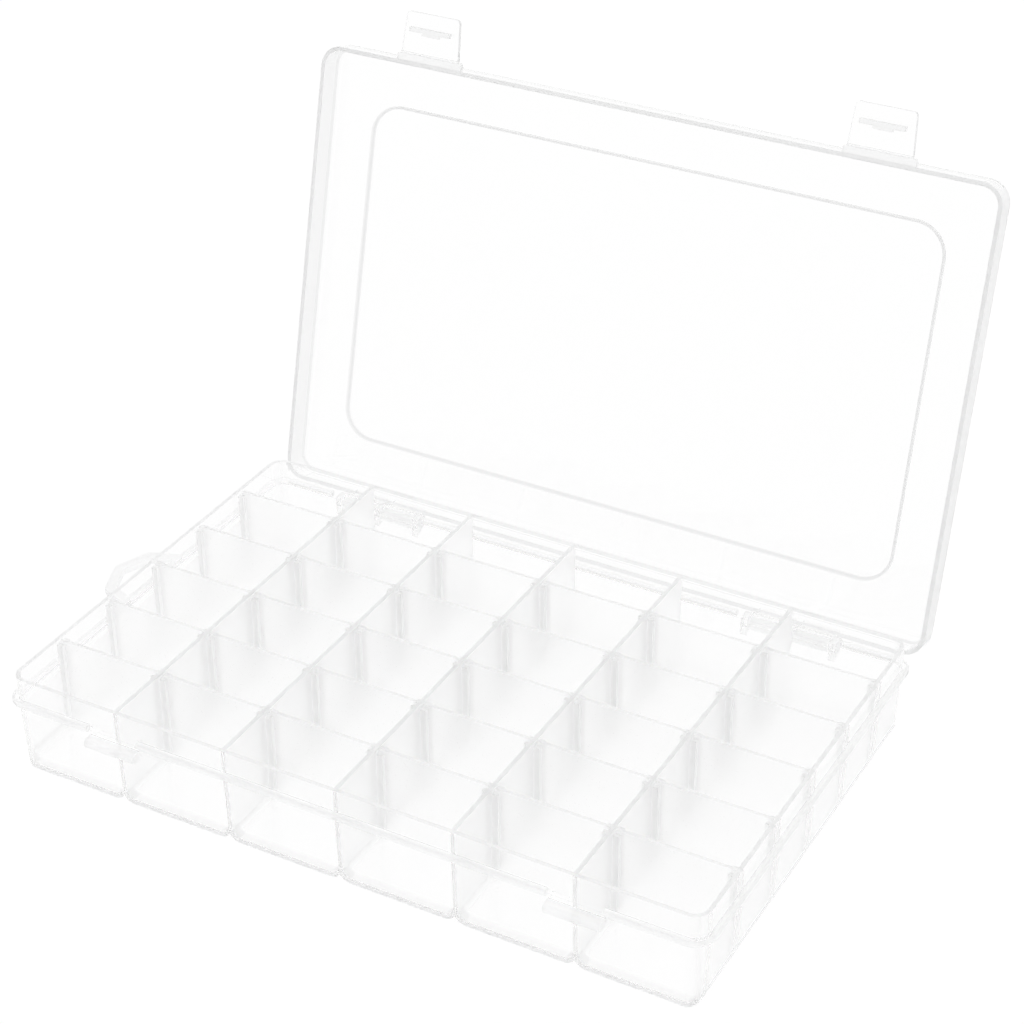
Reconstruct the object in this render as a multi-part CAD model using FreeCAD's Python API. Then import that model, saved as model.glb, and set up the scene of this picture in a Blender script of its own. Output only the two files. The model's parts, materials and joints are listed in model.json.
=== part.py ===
import FreeCAD, Part
import math
import os

# Clear compartment box for beads: a tray of six long troughs with loose dividers, a hinged lid and two
# latch flaps. Millimetres, +X along the length, +Y to the hinge side, +Z up. The origin is on the table
# under the middle of the tray. The lid stands open against its stop, with both latch flaps straight.

Vector = FreeCAD.Vector

# Compartments
columns = 6
rows = 6
cell_length = 42.9
cell_depth = 27.5
end_cell_depth = 25.5

# Tray shell
cross_wall = 1.6
wall = 1.5
floor = 1.5
tray_height = 38.5
corner_radius = 6.0
draft_angle = 2.0
trough_radius = 5.5
notch_rise = 2.4

# Flange that carries the lid
neck_height = 8.5
flange_thick = 2.5
flange_reach = 2.3
flange_bevel = 0.8

# Dividers and their slots
divider_thick = 1.2
divider_play = 0.3
divider_drop = 0.3
rib_width = 1.6
rib_reach = 2.2
rib_drop = 1.5

# Lid
lid_play = 0.6
lid_gap = 0.2
lid_headroom = 0.4
lid_thick = 1.5
skirt_thick = 1.6
lid_edge_radius = 2.4
panel_inset = 19.5
panel_radius = 12.5
panel_rise = 0.8
panel_slope = 1.2
lid_open_angle = 104.0

# Hinges
hinge_from_end = 46.2
hinge_span = 37.5
hinge_notch_play = 2.0
hinge_behind = 3.6
hinge_drop = 4.4
pin_radius = 1.6
pin_play = 0.25
hook_wall = 1.25
hook_mouth = 2.9
lug_width = 2.5
lug_wall = 1.1
lug_gusset = 2.4
lug_play = 0.4
stop_gap = 0.1
stop_heel = 1.8
arm_rise = 3.6

# Latches
latch_from_end = 44.2
latch_width = 24.4
latch_length = 15.4
latch_thick = 1.6
latch_taper = 1.0
latch_corner = 1.5
tab_width = 27.5
tab_reach = 2.8
tab_thick = 2.2
tab_corner = 1.4
fold_gap = 0.3
fold_rise = 0.2
catch_width = 20.5
catch_drop = 7.9
catch_height = 3.6
catch_reach = 4.0
catch_nose = 1.4
catch_play = 0.25
bar_width = 17.0
bar_thick = 1.6
bar_reach = 2.2
bar_step_width = 7.5
bar_step_thick = 1.3
bar_step_reach = 0.8

# Hanging loop on the left side
loop_reach = 15.5
loop_shoulder = 10.2
loop_half_width = 14.0
loop_root = 18.5
loop_band = 3.8
loop_round = 2.5

# Sizes that follow from the ones above
column_pitch = cell_length + cross_wall
row_pitch = cell_depth + divider_thick
inner_length = columns * cell_length + (columns - 1) * cross_wall
inner_depth = (rows - 2) * cell_depth + (rows - 1) * divider_thick + 2 * end_cell_depth
tray_length = inner_length + 2 * wall
tray_depth = inner_depth + 2 * wall
flange_top = tray_height - neck_height
flange_middle = flange_top - flange_thick / 2
draft_slope = math.tan(math.radians(draft_angle))
draft_inset = draft_slope * flange_middle
notch_half = math.sqrt(2 * trough_radius * notch_rise - notch_rise ** 2)
slot_width = divider_thick + 2 * divider_play
lid_bottom = flange_top + lid_gap
lid_ceiling = tray_height + lid_headroom
lid_top = lid_ceiling + lid_thick
lid_length = tray_length + 2 * (lid_play + skirt_thick)
lid_depth = tray_depth + 2 * (lid_play + skirt_thick)
hinge_y = tray_depth / 2 + hinge_behind
hinge_z = flange_top - hinge_drop
hinge_x = tray_length / 2 - hinge_from_end
latch_x = tray_length / 2 - latch_from_end
fold_y = -(lid_depth / 2 + tab_reach + fold_gap / 2)
fold_z = lid_bottom + fold_rise
catch_bottom = flange_top - catch_drop
bar_from_fold = fold_z - catch_bottom + catch_play
end_splay = 2 * draft_slope
overlap = 0.6
tall = 2 * tray_height
match = 0.001


def rounded_rectangle(length, depth, radius, z):
    """Closed wire of a rectangle with round corners, centred on the Z axis."""
    half_length = length / 2
    half_depth = depth / 2
    diagonal = radius * (1 - math.sqrt(0.5))
    edges = []
    for quarter in range(4):
        turn = math.radians(90 * quarter)
        along = half_length if quarter % 2 == 0 else half_depth
        across = half_depth if quarter % 2 == 0 else half_length

        def place(u, v):
            return Vector(u * math.cos(turn) - v * math.sin(turn), u * math.sin(turn) + v * math.cos(turn), z)

        arc_start = place(along, across - radius)
        arc_middle = place(along - diagonal, across - diagonal)
        arc_end = place(along - radius, across)
        edges.append(Part.makeLine(place(along, radius - across), arc_start))
        edges.append(Part.Arc(arc_start, arc_middle, arc_end).toShape())
    return Part.Wire(edges)


def rounded_block(length, depth, radius, z_low, z_high):
    """Upright block with round vertical corners."""
    face = Part.Face(rounded_rectangle(length, depth, radius, z_low))
    return face.extrude(Vector(0, 0, z_high - z_low))


def drafted_block(length, depth, radius, z_high):
    """Block that narrows downwards from z_high to the table by the mould's draft."""
    inset = draft_slope * z_high
    low = rounded_rectangle(length - 2 * inset, depth - 2 * inset, radius - inset, 0)
    high = rounded_rectangle(length, depth, radius, z_high)
    return Part.makeLoft([low, high], True, True)


def box(x_low, x_high, y_low, y_high, z_low, z_high):
    """Plain block between two corners."""
    return Part.makeBox(x_high - x_low, y_high - y_low, z_high - z_low, Vector(x_low, y_low, z_low))


def column_edge(index):
    """X of the wall centre line on the left of a column, or of the tray's foot at either end."""
    foot = tray_length / 2 - draft_inset + draft_slope * trough_radius
    if index == 0:
        return -foot
    if index == columns:
        return foot
    return (index - columns / 2) * column_pitch


def trough_side(index, side, skin, z_high):
    """Half outline of one trough in XZ, from its top down to its floor: top, wall foot, arc middle, arc end.

    side is -1 on the left and +1 on the right. skin is the depth inside the tray's outer surface.
    """
    at_end = index in (0, columns)
    reach = trough_radius if at_end else notch_half
    centre_x = column_edge(index) - side * reach
    radius = trough_radius - skin
    if at_end:
        wall_x = centre_x + side * radius
        top_x = wall_x + side * end_splay * z_high
    else:
        wall_x = column_edge(index) - side * (cross_wall / 2 if skin else 0)
        top_x = wall_x
    across = abs(wall_x - centre_x)
    foot_angle = math.acos(min(1.0, across / radius))
    foot_z = trough_radius - radius * math.sin(foot_angle)
    middle_angle = (foot_angle + math.pi / 2) / 2
    return [
        Vector(top_x, 0, z_high),
        Vector(wall_x, 0, foot_z),
        Vector(centre_x + side * radius * math.cos(middle_angle), 0,
               trough_radius - radius * math.sin(middle_angle)),
        Vector(centre_x, 0, trough_radius - radius),
    ]


def trough(index, skin, z_high):
    """One trough's section run along the whole depth of the tray."""
    left = trough_side(index, -1, skin, z_high)
    right = trough_side(index + 1, 1, skin, z_high)
    outline = Part.Wire([
        Part.makeLine(left[0], left[1]),
        Part.Arc(left[1], left[2], left[3]).toShape(),
        Part.makeLine(left[3], right[3]),
        Part.Arc(right[3], right[2], right[1]).toShape(),
        Part.makeLine(right[1], right[0]),
        Part.makeLine(right[0], left[0]),
    ])
    section = Part.Face(outline)
    section.translate(Vector(0, -tray_depth, 0))
    return section.extrude(Vector(0, 2 * tray_depth, 0))


def row_line(row):
    """Y of the divider line behind a row, counted from the front."""
    return (row - rows / 2) * row_pitch


def near(first, second):
    """True where two coordinates are the same."""
    return abs(first - second) < match


def edges_where(shape, test):
    """Edges whose middle point passes a test."""
    chosen = []
    for edge in shape.Edges:
        first, last = edge.ParameterRange
        if test(edge.valueAt((first + last) / 2)):
            chosen.append(edge)
    return chosen


def tray_hull():
    """Outside of the tray without its flange: neck above, drafted scalloped body below."""
    body = drafted_block(tray_length, tray_depth, corner_radius, flange_middle)
    scallops = [trough(column, 0, tall) for column in range(columns)]
    body = body.common(scallops[0].fuse(scallops[1:]).removeSplitter())
    neck = rounded_block(tray_length, tray_depth, corner_radius, flange_middle, tray_height)
    return body.fuse(neck)


def tray_flange():
    """Bevelled flange, cut away at the latches in front and at the hinges behind."""
    reach = 2 * flange_reach
    low = flange_top - flange_thick
    radius = corner_radius + flange_reach
    plate = rounded_block(tray_length + reach, tray_depth + reach, radius, low, flange_top)
    nose = [edge for edge in plate.Edges if near(edge.BoundBox.ZLength, 0)]
    plate = plate.makeChamfer(flange_bevel, nose)
    edge_y = tray_depth / 2
    hinge_gap = hinge_span + 2 * hinge_notch_play
    cuts = []
    for side in (-1, 1):
        latch_low = side * latch_x - catch_width / 2
        cuts.append(box(latch_low, latch_low + catch_width, -2 * edge_y, -edge_y, 0, tall))
        hinge_low = side * hinge_x - hinge_gap / 2
        cuts.append(box(hinge_low, hinge_low + hinge_gap, edge_y, 2 * edge_y, 0, tall))
    return plate.cut(cuts)


def latch_catch(side):
    """Lower piece of flange that a latch hooks under."""
    low = side * latch_x - catch_width / 2
    front = -(tray_depth / 2 + catch_reach)
    back = -(tray_depth / 2 - wall / 2)
    block = box(low, low + catch_width, front, back, catch_bottom, catch_bottom + catch_height)
    nose = edges_where(block, lambda p: near(p.y, front) and near(p.x, side * latch_x))
    return block.makeFillet(catch_nose, nose)


def hinge_lugs(side):
    """Three lugs on the back wall and the round pin moulded between them."""
    radius = pin_radius + lug_wall
    root_y = tray_depth / 2 - wall / 2
    outline = Part.Wire([
        Part.makeLine(Vector(0, root_y, hinge_z + radius), Vector(0, hinge_y, hinge_z + radius)),
        Part.Arc(Vector(0, hinge_y, hinge_z + radius), Vector(0, hinge_y + radius, hinge_z),
                 Vector(0, hinge_y, hinge_z - radius)).toShape(),
        Part.makeLine(Vector(0, hinge_y, hinge_z - radius), Vector(0, root_y, hinge_z - radius - lug_gusset)),
        Part.makeLine(Vector(0, root_y, hinge_z - radius - lug_gusset), Vector(0, root_y, hinge_z + radius)),
    ])
    step = (hinge_span - lug_width) / 2
    first = side * hinge_x - hinge_span / 2
    lugs = []
    for place in range(3):
        lug = Part.Face(outline)
        lug.translate(Vector(first + place * step, 0, 0))
        lugs.append(lug.extrude(Vector(lug_width, 0, 0)))
    pin_start = Vector(first + lug_width / 2, hinge_y, hinge_z)
    pin = Part.makeCylinder(pin_radius, hinge_span - lug_width, pin_start, Vector(1, 0, 0))
    return lugs + [pin]


def loop_prism(inset, rounding):
    """Gable-shaped prism beside the left flange, all its sides moved in by inset."""
    nose_x = -(tray_length / 2 + flange_reach)
    slope = math.atan2(loop_reach - loop_shoulder, loop_half_width)
    splay = math.atan2(loop_root - loop_half_width, loop_shoulder)
    apex_x = loop_reach - inset / math.cos(slope)
    side_y = loop_root - inset / math.cos(splay)
    shoulder_x = (apex_x - side_y * math.tan(slope)) / (1 - math.tan(splay) * math.tan(slope))
    shoulder_y = side_y - shoulder_x * math.tan(splay)
    depth_in = flange_reach + wall / 2 if inset == 0 else 0
    outline = [
        (-depth_in, -loop_root + inset / math.cos(splay)),
        (0, -side_y),
        (shoulder_x, -shoulder_y),
        (apex_x, 0),
        (shoulder_x, shoulder_y),
        (0, side_y),
        (-depth_in, side_y),
    ]
    points = []
    for reach, y in outline:
        point = Vector(nose_x - reach, y, flange_top - flange_thick)
        if not points or points[-1].distanceToPoint(point) > match:
            points.append(point)
    prism = Part.Face(Part.makePolygon(points + points[:1])).extrude(Vector(0, 0, flange_thick))
    corners = edges_where(prism, lambda p: p.x < nose_x - match and near(p.z, flange_middle))
    return prism.makeFillet(rounding, corners)


def hanging_loop():
    """Flat loop for a hook or nail, level with the flange."""
    outer = loop_prism(0, loop_round)
    inner = loop_prism(loop_band, loop_round / 2)
    return outer.cut(inner)


def slot_ribs(column):
    """Pairs of upright ribs that hold the divider edges in one column, from the trough's curve upwards."""
    left_face = -inner_length / 2 + column * column_pitch
    faces = [(left_face, 1), (left_face + cell_length, -1)]
    top = tray_height - rib_drop
    ribs = []
    for row in range(1, rows):
        for face_x, inward in faces:
            x_low, x_high = sorted((face_x - inward * wall, face_x + inward * rib_reach))
            for side in (-1, 1):
                slot_edge = row_line(row) + side * slot_width / 2
                y_low, y_high = sorted((slot_edge, slot_edge + side * rib_width))
                ribs.append(box(x_low, x_high, y_low, y_high, trough_radius, top))
    return ribs


def tray_hollow(column):
    """Space inside one column, shaped by its trough, the shell and the slot ribs."""
    length = tray_length - 2 * wall
    depth = tray_depth - 2 * wall
    radius = corner_radius - wall
    lower = drafted_block(length, depth, radius, flange_middle)
    upper = rounded_block(length, depth, radius, flange_middle, tall)
    space = lower.fuse(upper).common(trough(column, floor, tall))
    return space.cut(slot_ribs(column))


def make_tray():
    """The whole tray moulding."""
    additions = [tray_flange(), hanging_loop()]
    for side in (-1, 1):
        additions.append(latch_catch(side))
        additions.extend(hinge_lugs(side))
    shell = tray_hull().fuse(additions)
    return shell.cut([tray_hollow(column) for column in range(columns)])


def make_divider(column, row):
    """Loose plate that follows the trough's section with a little play all round."""
    skin = floor + divider_play
    length = tray_length - 2 * (wall + divider_play)
    depth = tray_depth - 2 * wall
    radius = corner_radius - wall
    lower = drafted_block(length, depth, radius, flange_middle)
    upper = rounded_block(length, depth, radius, flange_middle, tall)
    left_face = -inner_length / 2 + column * column_pitch + divider_play
    right_face = left_face + cell_length - 2 * divider_play
    y_low = row_line(row) - divider_thick / 2
    slab = box(left_face, right_face, y_low, y_low + divider_thick, 0, tray_height - divider_drop)
    return slab.common(lower.fuse(upper).common(trough(column, skin, tall)))


def lid_hook(side, place):
    """Spring hook: a split ring round the hinge pin, its arm and the heel that stops the lid."""
    bore = pin_radius + pin_play
    ring = bore + hook_wall
    width = (hinge_span - 3 * lug_width) / 2 - 2 * lug_play
    start = side * hinge_x + place * (hinge_span - lug_width) / 4 - width / 2
    along = Vector(1, 0, 0)
    axis = Vector(start, hinge_y, hinge_z)
    skirt_back = lid_depth / 2
    arm_front = skirt_back - overlap
    mouth_top = hinge_z + hook_mouth / 2
    outline = [
        Vector(start, arm_front, hinge_z + hook_wall),
        Vector(start, arm_front, lid_bottom + arm_rise),
        Vector(start, skirt_back, lid_bottom + arm_rise),
        Vector(start, hinge_y + bore, lid_bottom),
        Vector(start, hinge_y + bore + hook_wall / 2, mouth_top),
        Vector(start, hinge_y, mouth_top),
    ]
    arm = Part.Face(Part.makePolygon(outline + outline[:1])).extrude(along * width)
    hook = Part.makeCylinder(ring, width, axis, along).fuse(arm)
    heel_reach = hinge_behind - stop_gap
    heel = box(start, start + width, hinge_y - heel_reach, hinge_y, hinge_z - stop_heel, hinge_z)
    heel.rotate(axis, along, lid_open_angle)
    mouth = box(start, start + width, hinge_y, hinge_y + 2 * ring, hinge_z - hook_mouth / 2, mouth_top)
    return hook.fuse(heel).cut([Part.makeCylinder(bore, width, axis, along), mouth])


def raised_panel(length, depth, radius, z_low, rise):
    """Low plateau with sloping sides."""
    shrink = 2 * panel_slope
    low = rounded_rectangle(length, depth, radius, z_low)
    high = rounded_rectangle(length - shrink, depth - shrink, radius - panel_slope, z_low + rise)
    return Part.makeLoft([low, high], True, True)


def latch_tab(side):
    """Thick lip on the front skirt that a latch flap hangs from."""
    low = side * latch_x - tab_width / 2
    front = -(lid_depth / 2 + tab_reach)
    back = -(lid_depth / 2 - skirt_thick / 2)
    block = box(low, low + tab_width, front, back, lid_bottom, lid_bottom + tab_thick)
    ends = edges_where(block, lambda p: near(p.y, front) and near(p.z, lid_bottom + tab_thick / 2))
    return block.makeFillet(tab_corner, ends)


def make_lid():
    """Lid moulding, built shut."""
    radius = corner_radius + lid_play + skirt_thick
    shell = rounded_block(lid_length, lid_depth, radius, lid_bottom, lid_top)
    rim = [edge for edge in shell.Edges if edge.BoundBox.ZMin > lid_top - match]
    shell = shell.makeFillet(lid_edge_radius, rim)
    panel_length = lid_length - 2 * panel_inset
    panel_depth = lid_depth - 2 * panel_inset
    panel = raised_panel(panel_length, panel_depth, panel_radius, lid_top, panel_rise)
    additions = [panel]
    for side in (-1, 1):
        additions.append(latch_tab(side))
        for place in (-1, 1):
            additions.append(lid_hook(side, place))
    inside_length = lid_length - 2 * skirt_thick
    inside_depth = lid_depth - 2 * skirt_thick
    hollow = rounded_block(inside_length, inside_depth, radius - skirt_thick, lid_bottom - tall, lid_ceiling)
    ceiling = [edge for edge in hollow.Edges if edge.BoundBox.ZMin > lid_ceiling - match]
    hollow = hollow.makeChamfer(lid_edge_radius - skirt_thick, ceiling)
    recess = raised_panel(panel_length, panel_depth, panel_radius, lid_ceiling, panel_rise)
    return shell.cut([hollow, recess]).fuse(additions)


def make_latch(side):
    """Tapered latch flap, straight out from its tab, with the catch bar and centre step on its inner face."""
    middle = side * latch_x
    root = fold_y - fold_gap / 2
    tip = root - latch_length
    root_half = latch_width / 2
    tip_half = root_half - latch_taper
    outline = [
        Vector(middle - root_half, root, fold_z),
        Vector(middle - tip_half, tip, fold_z),
        Vector(middle + tip_half, tip, fold_z),
        Vector(middle + root_half, root, fold_z),
    ]
    flap = Part.Face(Part.makePolygon(outline + outline[:1])).extrude(Vector(0, 0, latch_thick))
    corners = edges_where(flap, lambda p: near(p.y, tip) and near(p.z, fold_z + latch_thick / 2))
    flap = flap.makeFillet(latch_corner, corners)
    bar_near = fold_y - bar_from_fold
    bar_low = middle - bar_width / 2
    bar = box(bar_low, bar_low + bar_width, bar_near - bar_thick, bar_near,
              fold_z - bar_reach, fold_z + overlap)
    step_low = middle - bar_step_width / 2
    step = box(step_low, step_low + bar_step_width, bar_near - overlap, bar_near + bar_step_thick,
               fold_z - bar_step_reach, fold_z + overlap)
    return flap.fuse([bar, step])


def opened(shape):
    """Turns a piece of the shut lid back to its stop."""
    turned = shape.copy()
    turned.rotate(Vector(0, hinge_y, hinge_z), Vector(1, 0, 0), -lid_open_angle)
    return turned


def save(name, shape):
    """Writes one piece as a STEP file."""
    solid = shape.removeSplitter()
    if len(solid.Solids) == 1:
        solid = solid.Solids[0]
    solid.exportStep(os.path.join("parts", name + ".step"))
    print(name, "solids", len(solid.Solids), "valid", solid.isValid(), "volume", round(solid.Volume, 1))


os.makedirs("parts", exist_ok=True)
save("tray", make_tray())
save("lid", opened(make_lid()))
save("latch_left", opened(make_latch(-1)))
save("latch_right", opened(make_latch(1)))
for column in range(columns):
    for row in range(1, rows):
        save(f"divider_c{column + 1}_r{row}", make_divider(column, row))
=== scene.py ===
import json
import math

import bpy
from mathutils import Matrix, Vector


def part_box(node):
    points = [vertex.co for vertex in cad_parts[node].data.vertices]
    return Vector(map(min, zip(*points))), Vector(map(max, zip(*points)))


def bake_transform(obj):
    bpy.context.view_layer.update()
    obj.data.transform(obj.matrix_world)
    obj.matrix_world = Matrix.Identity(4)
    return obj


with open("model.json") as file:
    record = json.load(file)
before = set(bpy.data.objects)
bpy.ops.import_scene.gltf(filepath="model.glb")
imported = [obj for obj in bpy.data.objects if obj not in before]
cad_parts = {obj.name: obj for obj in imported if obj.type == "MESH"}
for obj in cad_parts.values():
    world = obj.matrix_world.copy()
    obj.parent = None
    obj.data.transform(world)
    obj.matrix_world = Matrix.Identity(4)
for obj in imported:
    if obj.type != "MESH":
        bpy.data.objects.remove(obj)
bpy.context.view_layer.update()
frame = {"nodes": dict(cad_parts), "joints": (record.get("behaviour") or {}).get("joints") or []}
millimetre = 0.001


# Tray. One injection moulding of clear polypropylene, with six long troughs side by side and a neck
# that the lid shuts over. Its outer walls and floors are polished in the mould. The walls between the
# troughs and the slot ribs have a fine eroded texture, so they look milky grey. The rims have that texture
# too, and the rims, the bevels and the wall beside each slot rib are greyed by a painted shade.


def linear(code):
    """Linear colour of an sRGB hex value, with an alpha of 1."""
    parts = [int(code[i:i + 2], 16) / 255 for i in (1, 3, 5)]
    return [p / 12.92 if p <= 0.04045 else ((p + 0.055) / 1.055) ** 2.4 for p in parts] + [1]


def add_node(tree, kind, settings=(), *values, **links):
    """Adds a shader node. Settings are properties, or inputs by name or number. Values go into its inputs
    in order and links into inputs by name, with _ for spaces: a number, an output or a whole node."""
    node = tree.nodes.new("ShaderNode" + kind)
    for name, value in dict(settings).items():
        if isinstance(name, int) or name in node.inputs:
            node.inputs[name].default_value = value
        else:
            setattr(node, name, value)
    for name, value in list(enumerate(values)) + list(links.items()):
        socket = node.inputs[name if isinstance(name, int) else name.replace("_", " ")]
        if isinstance(value, (int, float)):
            socket.default_value = value
        else:
            tree.links.new(value.outputs[0] if isinstance(value, bpy.types.Node) else value, socket)
    return node


def new_material(name):
    """Empty node material and its tree."""
    material = bpy.data.materials.new(name)
    material.use_nodes = True
    material.node_tree.nodes.clear()
    return material, material.node_tree


def dress(node_name, material):
    """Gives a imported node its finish."""
    slots = frame["nodes"][node_name].data.materials
    slots.clear()
    slots.append(material)


clear_colour = "#FFFFFF"
milky_colour = "#FDFDFD"
# Painted shade: this greyer colour on edges stands in for the dark lines that bent light draws along them.
painted_edge_shade = "#F2F2F2"
plastic_ior = 1.49
plastic_shade = "#808080"
plastic_density = 0.2
haze_size = 9 * millimetre
haze_detail = 3.0
haze_low, haze_high = 0.3, 0.7
polish_roughness = 0.03
haze_roughness = 0.08
frost_roughness = 0.38
wave_size = 30 * millimetre
wave_height = 0.02 * millimetre
wave_strength = 0.5
wave_detail = 1.0
slope_low, slope_high = 0.01, 0.1
# Places that tell the tray's stretches apart. The cross walls and ribs are within the first two limits from
# its middle, and what stands out from the neck is beyond the next two. The rest are heights above the table.
wall_limit = 132.6 * millimetre
rib_limit = 79 * millimetre
neck_depth = 85.1 * millimetre
neck_length = 134.3 * millimetre
foot_high = 1.6 * millimetre
rim_low = 36 * millimetre
trough_top = 15 * millimetre
# The slots, one for each row of dividers. The grey beside them is painted shade, strongest up to slot_near
# and gone at slot_far.
row_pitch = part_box("divider_c1_r2")[0][1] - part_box("divider_c1_r1")[0][1]
slot_near = 1.5 * millimetre
slot_far = 6.5 * millimetre
slot_shade_share = 0.75

times = {"operation": "MULTIPLY"}
minus = {"operation": "SUBTRACT"}
larger = {"operation": "MAXIMUM"}
above = {"operation": "GREATER_THAN"}
below = {"operation": "LESS_THAN"}
unsigned = {"operation": "ABSOLUTE"}


def clear_polypropylene(name, shares, painted_shade_code):
    """Clear moulded polypropylene. The polished faces show faint haze patches and slow waves from the
    cooling. shares gives the share of milky and of edge surface at each place. Edges are rough and greyer, a
    painted shade standing in for the dark lines of bent light."""
    material, tree = new_material(name)
    place = add_node(tree, "TexCoord")
    milky, edge = shares(tree, place)
    haze = add_node(tree, "TexNoise", {"Scale": 1 / haze_size, "Detail": haze_detail},
                    place.outputs["Object"])
    polish = add_node(tree, "MapRange", {"From Min": haze_low, "From Max": haze_high,
                                         "To Min": polish_roughness, "To Max": haze_roughness}, haze)
    textured = add_node(tree, "Math", larger, milky, edge)
    rough = add_node(tree, "MapRange", {"To Max": frost_roughness}, textured, To_Min=polish)
    colour = add_node(tree, "Mix", {"data_type": "RGBA", 6: linear(clear_colour), 7: linear(milky_colour)},
                      milky)
    # Painted shade: where the edge share is, the colour turns to the greyer edge colour.
    colour = add_node(tree, "Mix", {"data_type": "RGBA", 7: linear(painted_shade_code)}, edge, A=colour.outputs[2])
    wave = add_node(tree, "TexNoise", {"Scale": 1 / wave_size, "Detail": wave_detail},
                    place.outputs["Object"])
    bump = add_node(tree, "Bump", {"Strength": wave_strength, "Distance": wave_height}, Height=wave)
    shader = add_node(tree, "BsdfPrincipled", {"IOR": plastic_ior, "Transmission Weight": 1.0},
                      Base_Color=colour.outputs[2], Roughness=rough, Normal=bump)
    body = add_node(tree, "VolumeAbsorption", {"Color": linear(plastic_shade), "Density": plastic_density})
    add_node(tree, "OutputMaterial", Surface=shader, Volume=body)
    return material


def sloped(tree, level):
    """1 on a rounded or bevelled edge between a wall and a level face, and 0 on both.
    level is the normal's Z."""
    square = add_node(tree, "Math", times, level, level)
    slope = add_node(tree, "Math", times, square, add_node(tree, "Math", minus, 1.0, square))
    return add_node(tree, "MapRange", {"From Min": slope_low, "From Max": slope_high}, slope)


def tray_shares(tree, place):
    """Milky on the cross walls, the ribs, the foot's outer border and all that stands out from the neck.
    Edges are the rims, the bevels and, fading out beside them, the slots; on all of them the greyer edge
    colour is a painted shade, for the grey lines and bands that bent light gives there."""
    spot = add_node(tree, "SeparateXYZ", (), place.outputs["Object"])
    size = add_node(tree, "VectorMath", unsigned, place.outputs["Object"])
    size = add_node(tree, "SeparateXYZ", (), size)
    lean = add_node(tree, "VectorMath", unsigned, place.outputs["Normal"])
    lean = add_node(tree, "SeparateXYZ", (), lean)
    among_rows = add_node(tree, "Math", below, size.outputs["Y"], rib_limit)
    among_columns = add_node(tree, "Math", below, size.outputs["X"], wall_limit)
    inside = add_node(tree, "Math", times, among_rows, among_columns)
    rib = add_node(tree, "Math", times, among_rows, lean.outputs["Y"])
    upright = add_node(tree, "Math", larger, rib, lean.outputs["X"])
    milky = add_node(tree, "Math", times, upright, among_columns)
    flange = add_node(tree, "Math", larger, add_node(tree, "Math", above, size.outputs["Y"], neck_depth),
                      add_node(tree, "Math", above, size.outputs["X"], neck_length))
    outside = add_node(tree, "Math", minus, 1.0, inside)
    foot = add_node(tree, "Math", below, spot.outputs["Z"], foot_high)
    foot = add_node(tree, "Math", times, outside, foot)
    milky = add_node(tree, "Math", larger, milky, add_node(tree, "Math", larger, flange, foot))
    # Painted shade: the wall beside each slot fades to grey towards the rib.
    across = add_node(tree, "Math", {"operation": "WRAP"}, spot.outputs["Y"], row_pitch / 2, -row_pitch / 2)
    across = add_node(tree, "Math", unsigned, across)
    slot = add_node(tree, "MapRange", {"From Min": slot_far, "From Max": slot_near}, across)
    slot = add_node(tree, "Math", times, slot, inside)
    slot = add_node(tree, "Math", times, slot, add_node(tree, "Math", times, upright, slot_shade_share))
    rim = add_node(tree, "Math", above, spot.outputs["Z"], rim_low)
    rim = add_node(tree, "Math", times, rim, lean.outputs["Z"])
    high = add_node(tree, "Math", above, spot.outputs["Z"], trough_top)
    bevel = add_node(tree, "Math", times, add_node(tree, "Math", larger, high, outside),
                     sloped(tree, lean.outputs["Z"]))
    # Rims, bevels and slots make up the edge share: rough, and greyed by painted shade.
    edge = add_node(tree, "Math", larger, slot, add_node(tree, "Math", larger, rim, bevel))
    edge = add_node(tree, "Math", times, edge, add_node(tree, "Math", minus, 1.0, flange))
    return milky, edge


dress("tray", clear_polypropylene("clear polypropylene, moulded tray", tray_shares, painted_edge_shade))


# Dividers. Thirty loose plates of natural polypropylene, satin from the mould's texture. Each is pushed
# down between the slot ribs of its trough and lifts out by hand.

satin_colour = "#FEFEFE"
satin_roughness = 0.29
satin_change = 0.05
grain_size = 0.8 * millimetre
grain_detail = 2.0


def satin_polypropylene():
    """Natural polypropylene with a satin moulded face. The edge that faces up, seen along its depth, is
    rough and greyer, a painted shade in the edge colour.
    """
    material, tree = new_material("natural polypropylene, satin dividers")
    place = add_node(tree, "TexCoord")
    grain = add_node(tree, "TexNoise", {"Scale": 1 / grain_size, "Detail": grain_detail},
                     place.outputs["Object"])
    rough = add_node(tree, "MapRange", {"To Min": satin_roughness - satin_change,
                                        "To Max": satin_roughness + satin_change}, grain)
    lean = add_node(tree, "SeparateXYZ", (), place.outputs["Normal"])
    rough = add_node(tree, "MapRange", {"To Max": frost_roughness}, lean.outputs["Z"], To_Min=rough)
    # Painted shade: the upward edge takes the greyer edge colour.
    colour = add_node(tree, "Mix", {"data_type": "RGBA", 6: linear(satin_colour), 7: linear(painted_edge_shade)},
                      lean.outputs["Z"])
    shader = add_node(tree, "BsdfPrincipled", {"IOR": plastic_ior, "Transmission Weight": 1.0},
                      Base_Color=colour.outputs[2], Roughness=rough)
    body = add_node(tree, "VolumeAbsorption", {"Color": linear(plastic_shade), "Density": plastic_density})
    add_node(tree, "OutputMaterial", Surface=shader, Volume=body)
    return material


divider_finish = satin_polypropylene()
for name in frame["nodes"]:
    if name.startswith("divider"):
        dress(name, divider_finish)


# Lid. A second clear moulding with a raised panel and a skirt, held by four spring hooks on the tray's
# hinge pins and open against its stop. It is polished inside and out. The skirt's ends, the hooks and the
# latch tabs are milky, as thicker stretches of such plastic are.

# Painted shade: the lid's edges take this greyer colour, for the lines that bent light draws there.
lid_painted_edge_shade = "#EFEFEF"
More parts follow.
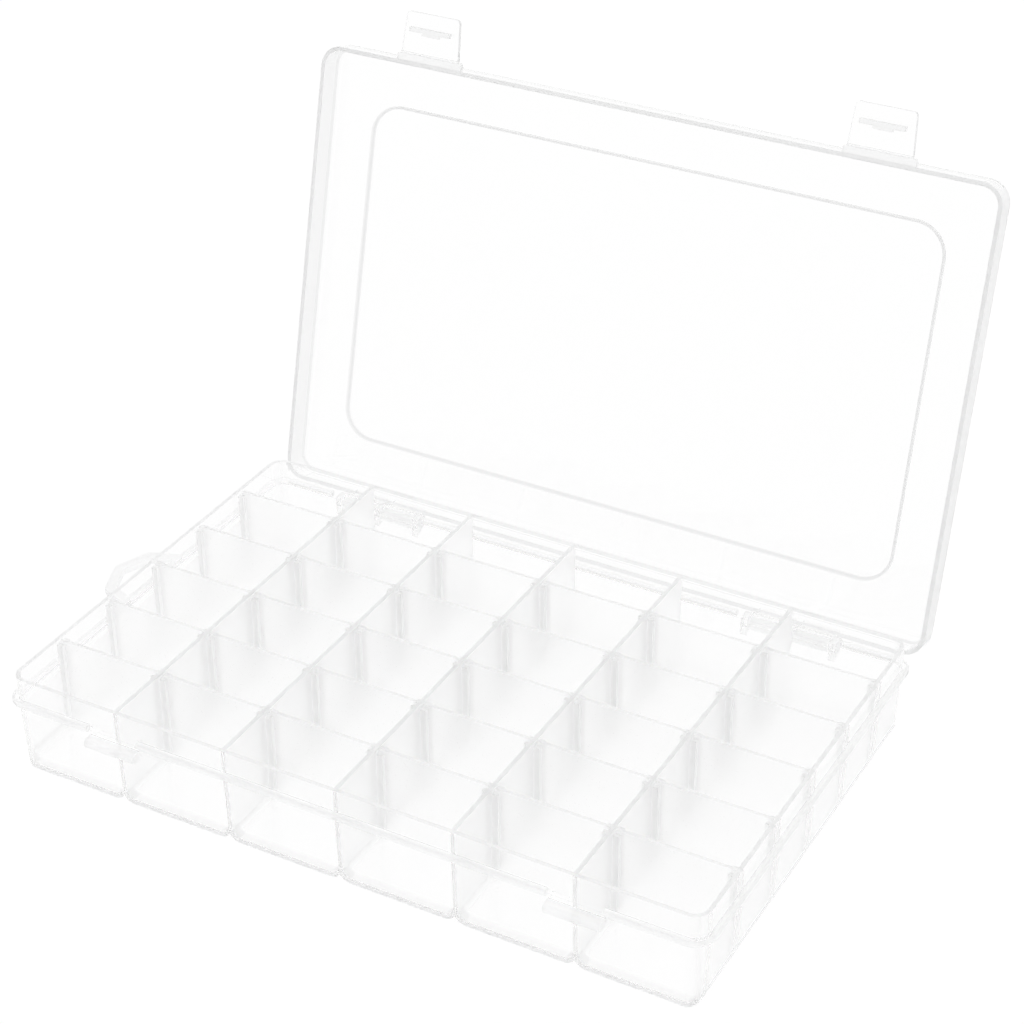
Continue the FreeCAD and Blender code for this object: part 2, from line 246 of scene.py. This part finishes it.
# Places on the shut lid. Hooks and tabs are beyond the skirt, and the heights are above the table.
skirt_limit = 87.3 * millimetre
skirt_rim = 30.2 * millimetre
skirt_band = 0.1 * millimetre
skirt_shade_share = 0.08
panel_low = 38.95 * millimetre
hinge = next(j for j in frame["joints"] if j["name"] == "lid_hinge")
lid_open = math.radians(-hinge["range_deg"][0])


def lid_axes(tree, place):
    """Place and normal on the lid as they are when it is shut."""
    turn = {"rotation_type": "X_AXIS", "Angle": lid_open}
    spot = add_node(tree, "VectorRotate", {**turn, "Center": hinge["pos_m"]}, place.outputs["Object"])
    lean = add_node(tree, "VectorRotate", turn, place.outputs["Normal"])
    return add_node(tree, "SeparateXYZ", (), spot), add_node(tree, "SeparateXYZ", (), lean)


def lid_shares(tree, place):
    """Milky on the skirt's ends, hooks and tabs. Edges, rough and greyed by painted shade in the edge
    colour, are the outer rounding, the panel's slope, the skirt's rim and, in part, its ends."""
    spot, lean = lid_axes(tree, place)
    end = add_node(tree, "Math", unsigned, lean.outputs["X"])
    deep = add_node(tree, "Math", unsigned, spot.outputs["Y"])
    added = add_node(tree, "Math", above, deep, skirt_limit)
    outer = add_node(tree, "Math", larger, add_node(tree, "Math", above, lean.outputs["Z"], 0.0),
                     add_node(tree, "Math", above, spot.outputs["Z"], panel_low))
    edge = add_node(tree, "Math", times, outer, sloped(tree, lean.outputs["Z"]))
    rim = add_node(tree, "Math", {"operation": "COMPARE"}, spot.outputs["Z"], skirt_rim, skirt_band)
    edge = add_node(tree, "Math", larger, edge, rim)
    edge = add_node(tree, "Math", larger, edge, add_node(tree, "Math", times, end, skirt_shade_share))
    edge = add_node(tree, "Math", times, edge, add_node(tree, "Math", minus, 1.0, added))
    return add_node(tree, "Math", larger, end, added), edge


dress("lid", clear_polypropylene("clear polypropylene, moulded lid", lid_shares, lid_painted_edge_shade))


# Latch flaps. Each hangs on the lid's tab by a film hinge, a thin web of the same moulding that bends
# when the flap is folded down over its catch. Its edges and the catch bar are textured and greyed by painted
# shade.

plate_low = 30.3 * millimetre
# The film hinge's width, half its length across the fold, and its thickness at the fold and at its ends.
film_width = 24.4 * millimetre
film_reach = 0.5 * millimetre
film_thin = 0.25 * millimetre
film_root = 0.6 * millimetre
film_steps = 8
towards_tip = Vector((0, -math.cos(lid_open), math.sin(lid_open)))
outwards = Vector((0, math.sin(lid_open), math.cos(lid_open)))


def flap_shares(tree, place):
    """Edges are all faces that aren't level with the plate, and the catch bar below it. They are rough and
    greyed by painted shade in the edge colour.
    """
    spot, lean = lid_axes(tree, place)
    side = add_node(tree, "Math", minus, 1.0, add_node(tree, "Math", unsigned, lean.outputs["Z"]))
    bar = add_node(tree, "Math", below, spot.outputs["Z"], plate_low)
    edge = add_node(tree, "Math", larger, side, bar)
    return edge, edge


flap_finish = clear_polypropylene("clear polypropylene, latch flaps", flap_shares, lid_painted_edge_shade)


def film_hinge(flap):
    """Web across the fold of a flap, thinnest at the middle and thicker where it joins."""
    fold = next(j for j in frame["joints"] if j["name"] == flap + "_fold")
    middle = Vector(fold["pos_m"])
    points = []
    for step in range(film_steps + 1):
        share = 2 * step / film_steps - 1
        thick = film_thin + (film_root - film_thin) * share ** 2
        for side in (-0.5, 0.5):
            inner = middle + Vector((side * film_width, 0, 0)) + towards_tip * (share * film_reach)
            points += [inner, inner + outwards * thick]
    faces = [(0, 1, 3, 2), (4 * film_steps, 4 * film_steps + 2, 4 * film_steps + 3, 4 * film_steps + 1)]
    for step in range(film_steps):
        near, far = 4 * step, 4 * step + 4
        for a, b in ((0, 2), (2, 3), (3, 1), (1, 0)):
            faces.append((near + a, near + b, far + b, far + a))
    mesh = bpy.data.meshes.new(flap + "_film")
    mesh.from_pydata(points, [], faces)
    mesh.materials.append(flap_finish)
    film = bpy.data.objects.new(flap + "_film", mesh)
    bpy.context.scene.collection.objects.link(film)
    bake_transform(film)


for name in ("latch_left", "latch_right"):
    dress(name, flap_finish)
    film_hinge(name)


# Table and surroundings. A plain white table that reaches out of sight, in an even white light tent.
# Clear plastic shows the same white that the camera sees, and the table keeps a faint shadow.

table_reach = 6.0
table_drop = 0.2 * millimetre
table_white = "#F2F2F2"
shadow_share = 0.08
glow_share = 0.94
tent_colour = "#FFFFFF"
tent_light = 0.9

table_mesh = bpy.data.meshes.new("table")
corners = [(-table_reach, -table_reach), (table_reach, -table_reach), (table_reach, table_reach),
           (-table_reach, table_reach)]
table_mesh.from_pydata([(x, y, -table_drop) for x, y in corners], [], [(0, 1, 2, 3)])
table = bpy.data.objects.new("table", table_mesh)
bpy.context.scene.collection.objects.link(table)

table_finish, tree = new_material("white matt table")
path = add_node(tree, "LightPath")
clear = add_node(tree, "Math", larger, path.outputs["Is Glossy Ray"], path.outputs["Is Transmission Ray"])
plain = add_node(tree, "BsdfDiffuse", {"Color": linear(table_white)})
shaded = add_node(tree, "BsdfDiffuse", {"Color": [shadow_share] * 3 + [1]})
glow = add_node(tree, "Emission", {"Strength": glow_share})
seen = add_node(tree, "AddShader", (), shaded, glow)
white = add_node(tree, "Emission", {"Strength": 1.0})
surface = add_node(tree, "MixShader", (), path.outputs["Is Camera Ray"], plain, seen)
surface = add_node(tree, "MixShader", (), clear, surface, white)
add_node(tree, "OutputMaterial", Surface=surface)
table_mesh.materials.append(table_finish)

tent = bpy.data.worlds.new("light tent")
tent.use_nodes = True
tent.node_tree.nodes.clear()
tree = tent.node_tree
path = add_node(tree, "LightPath")
clear = add_node(tree, "Math", larger, path.outputs["Is Glossy Ray"], path.outputs["Is Transmission Ray"])
seen = add_node(tree, "Math", larger, clear, path.outputs["Is Camera Ray"])
level = add_node(tree, "MapRange", {"To Min": tent_light, "To Max": 1.0}, seen)
sky = add_node(tree, "Background", {"Color": linear(tent_colour)}, Strength=level)
add_node(tree, "OutputWorld", Surface=sky)
bpy.context.scene.world = tent


# Camera. It stands where the photograph was taken from, a little right of the front and above the lid.
# Light passes many clear faces here, so a ray may go on for many bounces, and none is blurred.

camera_place = (0.3745, -0.6342, 0.5613)
camera_azimuth = math.radians(29.187)
camera_elevation = math.radians(32.096)
camera_roll = math.radians(-0.41)
camera_lens = 89.93
most_bounces = 256

camera_data = bpy.data.cameras.new("camera")
camera_data.lens = camera_lens
camera = bpy.data.objects.new("camera", camera_data)
turn = Matrix.Rotation(camera_azimuth, 4, "Z")
tilt = Matrix.Rotation(math.pi / 2 - camera_elevation, 4, "X")
roll = Matrix.Rotation(camera_roll, 4, "Z")
camera.matrix_world = Matrix.Translation(camera_place) @ turn @ tilt @ roll
bpy.context.scene.collection.objects.link(camera)
bpy.context.scene.camera = camera

bpy.context.scene.view_settings.view_transform = "Standard"
bpy.context.scene.cycles.max_bounces = most_bounces
bpy.context.scene.cycles.transmission_bounces = most_bounces
bpy.context.scene.cycles.glossy_bounces = most_bounces
bpy.context.scene.cycles.blur_glossy = 0.0
